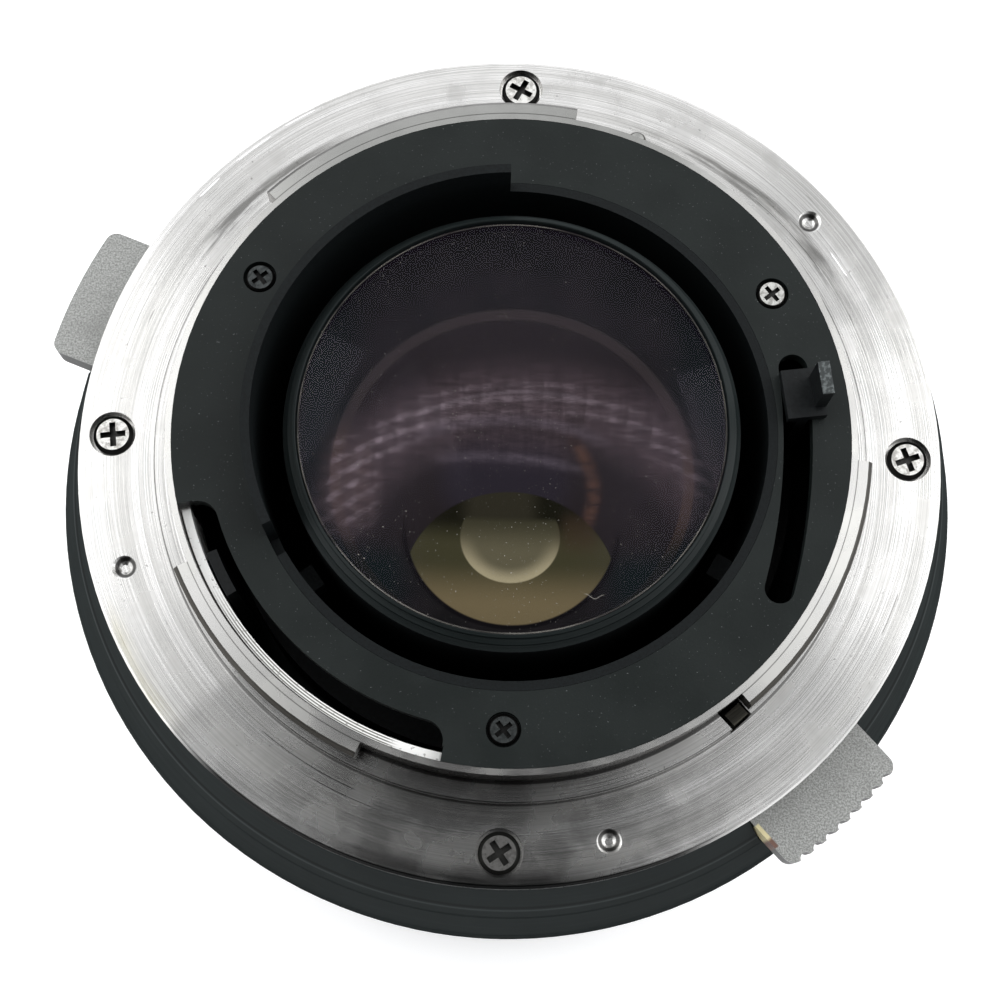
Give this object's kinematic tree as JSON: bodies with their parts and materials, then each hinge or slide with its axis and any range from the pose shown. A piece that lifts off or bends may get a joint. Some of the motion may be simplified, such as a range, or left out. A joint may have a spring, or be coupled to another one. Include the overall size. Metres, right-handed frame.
{
  "type": "macro zoom lens",
  "caption": "Manual macro zoom lens with a lugged bayonet mount, aperture, zoom and focus rings, stop-down and release buttons, a working iris and a filter thread.",
  "frame": {"origin": "centre of the mount flange's seating face, on the optical axis", "axes": "+Z along the optical axis out of the rear of the lens, towards the camera; +X to the right and +Y up in the view from behind; the lens stands on its front rim, at the lowest Z"},
  "size_m": [0.0641, 0.064, 0.083],
  "materials": {
    "chromed_brass": "turned, dull chrome on brass with fine circular lathe lines",
    "black_anodised": "black anodised, satin, fine blasted",
    "satin_black_paint": "semi-gloss black enamel, baked",
    "matt_black_paint": "flocked-looking flat black against stray light",
    "black_rubber": "moulded, grooved",
    "nickel_screws": "nickel plated",
    "blackened_screws": "blackened, worn bright at the edges",
    "satin_aluminium": "bead blasted, clear anodised",
    "yellow_zinc": "zinc plated, yellow passivated",
    "blackened_steel": "blackened, worn bright on the contact faces",
    "plain_aluminium": "turned, plain",
    "turned_brass": "turned",
    "spring_steel": "drawn wire",
    "coated_glass": "polished, multi-coated"
  },
  "bodies": {
    "fixed_barrel": {"mount_flange": "chromed_brass", "flange_screws": "nickel_screws", "bayonet_stop_pin": "chromed_brass", "cover_plate": "satin_black_paint", "cover_screws": "blackened_screws", "baffle_ring": "matt_black_paint", "stop_ring_clip": "spring_steel", "rear_housing": "black_anodised", "main_barrel": "black_anodised", "guide_barrel": "turned_brass", "barrel_screws": "blackened_screws", "cam_retaining_ring": "plain_aluminium", "index_ring": "black_anodised", "detent_ball": "spring_steel", "detent_spring": "spring_steel", "preview_springs": "spring_steel", "release_springs": "spring_steel", "stop_down_spring": "spring_steel"},
    "aperture": {"aperture_ring": "black_anodised", "setting_lever": "blackened_steel"},
    "stop_down": {"stop_down_ring": "blackened_steel", "stop_down_lever": "blackened_steel", "iris_drive_rod": "blackened_steel"},
    "preview": {"preview_button": "satin_aluminium", "preview_plunger": "plain_aluminium"},
    "release": {"release_button": "satin_aluminium", "release_pawl": "yellow_zinc"},
    "zoom": {"zoom_ring": "black_anodised", "zoom_grip": "black_rubber", "cam_sleeve": "plain_aluminium", "zoom_key": "turned_brass"},
    "carrier": {"carrier_barrel": "black_anodised", "carrier_rollers": "turned_brass", "focus_guide_keys": "turned_brass", "focus_retaining_ring": "black_anodised"},
    "focus": {"focus_ring": "black_anodised", "focus_grip": "black_rubber"},
    "front_group": {"front_cell": "black_anodised", "front_element": "coated_glass", "second_element": "coated_glass", "second_element_ring": "black_anodised", "front_retaining_ring": "black_anodised", "filter_ring": "black_anodised"},
    "variator": {"variator_cell": "black_anodised", "variator_element": "coated_glass", "variator_rollers": "turned_brass", "variator_retaining_ring": "black_anodised"},
    "rear_group": {"rear_cell": "matt_black_paint", "rear_element": "coated_glass", "rear_retaining_ring": "black_anodised", "relay_element": "coated_glass", "rear_rollers": "turned_brass", "iris_base_plate": "matt_black_paint"},
    "iris_ring": {"iris_drive_ring": "blackened_steel"},
    "blade_1": {"iris_blade_1": "blackened_steel"},
    "blade_2": {"iris_blade_2": "blackened_steel"},
    "blade_3": {"iris_blade_3": "blackened_steel"},
    "blade_4": {"iris_blade_4": "blackened_steel"},
    "blade_5": {"iris_blade_5": "blackened_steel"},
    "blade_6": {"iris_blade_6": "blackened_steel"}
  },
  "joints": [
    {"name": "aperture_turn", "type": "hinge", "parent": "fixed_barrel", "child": "aperture", "pos_m": [0, 0, -0.0093], "axis": [0, 0, 1], "range_deg": [0, 42]},
    {"name": "stop_down_turn", "type": "hinge", "parent": "fixed_barrel", "child": "stop_down", "pos_m": [0, 0, -0.0073], "axis": [0, 0, 1], "range_deg": [-24, 0], "stiffness_Nm_per_rad": 0.02, "springref_deg": 8.59, "deforming": ["stop_down_spring"]},
    {"name": "preview_slide", "type": "slide", "parent": "fixed_barrel", "child": "preview", "axis": [0.9367, -0.3502, 0], "range_m": [0, 0.001], "stiffness_N_per_m": 400, "springref_m": -0.002, "deforming": ["preview_springs"]},
    {"name": "release_slide", "type": "slide", "parent": "fixed_barrel", "child": "release", "axis": [-0.6896, 0.7242, 0], "range_m": [0, 0.001], "stiffness_N_per_m": 400, "springref_m": -0.002, "deforming": ["release_springs"]},
    {"name": "zoom_turn", "type": "hinge", "parent": "fixed_barrel", "child": "zoom", "pos_m": [0, 0, -0.0253], "axis": [0, 0, 1], "range_deg": [0, 70]},
    {"name": "carrier_slide", "type": "slide", "parent": "fixed_barrel", "child": "carrier", "axis": [0, 0, -1], "range_m": [0, 0.0101]},
    {"name": "variator_slide", "type": "slide", "parent": "fixed_barrel", "child": "variator", "axis": [0, 0, -1], "range_m": [0, 0.00405]},
    {"name": "rear_slide", "type": "slide", "parent": "fixed_barrel", "child": "rear_group", "axis": [0, 0, -1], "range_m": [0, 0.00705]},
    {"name": "focus_turn", "type": "hinge", "parent": "carrier", "child": "focus", "pos_m": [0, 0, -0.0532], "axis": [0, 0, 1], "range_deg": [0, 180]},
    {"name": "front_slide", "type": "slide", "parent": "carrier", "child": "front_group", "axis": [0, 0, -1], "range_m": [0, 0.00905]},
    {"name": "iris_ring_turn", "type": "hinge", "parent": "rear_group", "child": "iris_ring", "pos_m": [0, 0, -0.0207], "axis": [0, 0, 1], "range_deg": [-24.2, 0]},
    {"name": "blade_1_turn", "type": "hinge", "parent": "rear_group", "child": "blade_1", "pos_m": [0.0083, 0.01438, -0.022], "axis": [0, 0, 1], "range_deg": [0, 28.2]},
    {"name": "blade_2_turn", "type": "hinge", "parent": "rear_group", "child": "blade_2", "pos_m": [-0.0083, 0.01438, -0.022], "axis": [0, 0, 1], "range_deg": [0, 28.2]},
    {"name": "blade_3_turn", "type": "hinge", "parent": "rear_group", "child": "blade_3", "pos_m": [-0.0166, 0, -0.022], "axis": [0, 0, 1], "range_deg": [0, 28.2]},
    {"name": "blade_4_turn", "type": "hinge", "parent": "rear_group", "child": "blade_4", "pos_m": [-0.0083, -0.01438, -0.022], "axis": [0, 0, 1], "range_deg": [0, 28.2]},
    {"name": "blade_5_turn", "type": "hinge", "parent": "rear_group", "child": "blade_5", "pos_m": [0.0083, -0.01438, -0.022], "axis": [0, 0, 1], "range_deg": [0, 28.2]},
    {"name": "blade_6_turn", "type": "hinge", "parent": "rear_group", "child": "blade_6", "pos_m": [0.0166, 0, -0.022], "axis": [0, 0, 1], "range_deg": [0, 28.2]}
  ],
  "couplings": [
    {"joint": "carrier_slide", "follows": "zoom_turn", "m_per_rad": 0.0081851},
    {"joint": "variator_slide", "follows": "zoom_turn", "m_per_rad": 0.003274},
    {"joint": "rear_slide", "follows": "zoom_turn", "m_per_rad": 0.0057296},
    {"joint": "front_slide", "follows": "focus_turn", "m_per_rad": 0.0028648},
    {"joint": "iris_ring_turn", "follows": "stop_down_turn", "ratio": 1},
    {"joint": "blade_1_turn", "follows": "stop_down_turn", "ratio": -1.1667},
    {"joint": "blade_2_turn", "follows": "stop_down_turn", "ratio": -1.1667},
    {"joint": "blade_3_turn", "follows": "stop_down_turn", "ratio": -1.1667},
    {"joint": "blade_4_turn", "follows": "stop_down_turn", "ratio": -1.1667},
    {"joint": "blade_5_turn", "follows": "stop_down_turn", "ratio": -1.1667},
    {"joint": "blade_6_turn", "follows": "stop_down_turn", "ratio": -1.1667}
  ]
}
